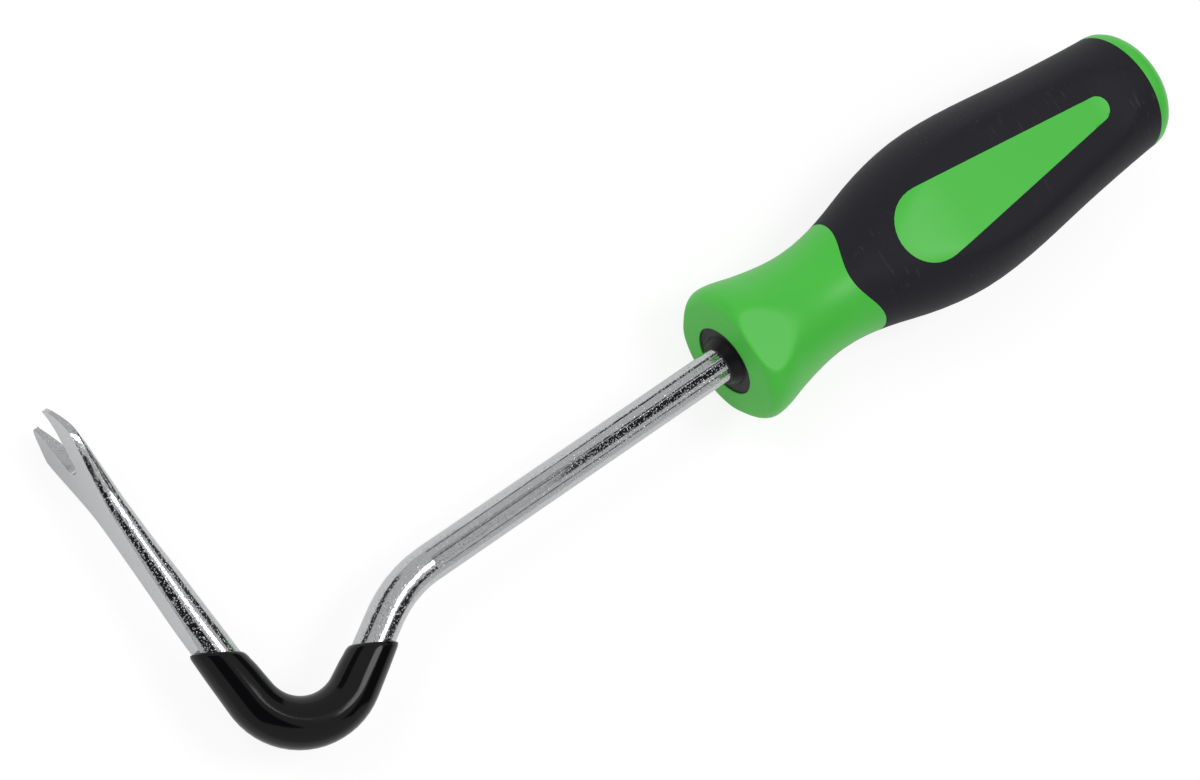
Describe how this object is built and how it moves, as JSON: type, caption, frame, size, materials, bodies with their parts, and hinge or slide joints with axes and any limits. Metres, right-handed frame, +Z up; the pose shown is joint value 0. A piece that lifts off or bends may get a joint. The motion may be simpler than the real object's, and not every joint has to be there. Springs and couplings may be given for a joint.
{
  "type": "trim removal tool",
  "caption": "Hand tool for lifting trim and clips: a bent steel bar with a forged fork, a dipped vinyl sleeve on its hook bend and a two-colour moulded handle.",
  "frame": {"origin": "on the bar's axis, where the bar leaves the nose of the handle", "axes": "+X along the bar away from the handle, +Y towards the low side of the hook bend so that the fork points to -Y, +Z up as the tool lies on a bench on its handle and one fork tip"},
  "size_m": [0.2692, 0.09, 0.0345],
  "materials": {
    "plated_steel": "bright plating over fine-grained steel",
    "dipped_vinyl": "glossy, smooth",
    "core_plastic": "satin",
    "handle_green": "satin to semi-gloss, moulded",
    "grip_rubber": "satin, fine moulded texture"
  },
  "bodies": {
    "root": {"shaft": "plated_steel", "fulcrum_coat": "dipped_vinyl", "core_sleeve": "core_plastic", "handle_body": "handle_green", "grip": "grip_rubber"}
  },
  "joints": []
}
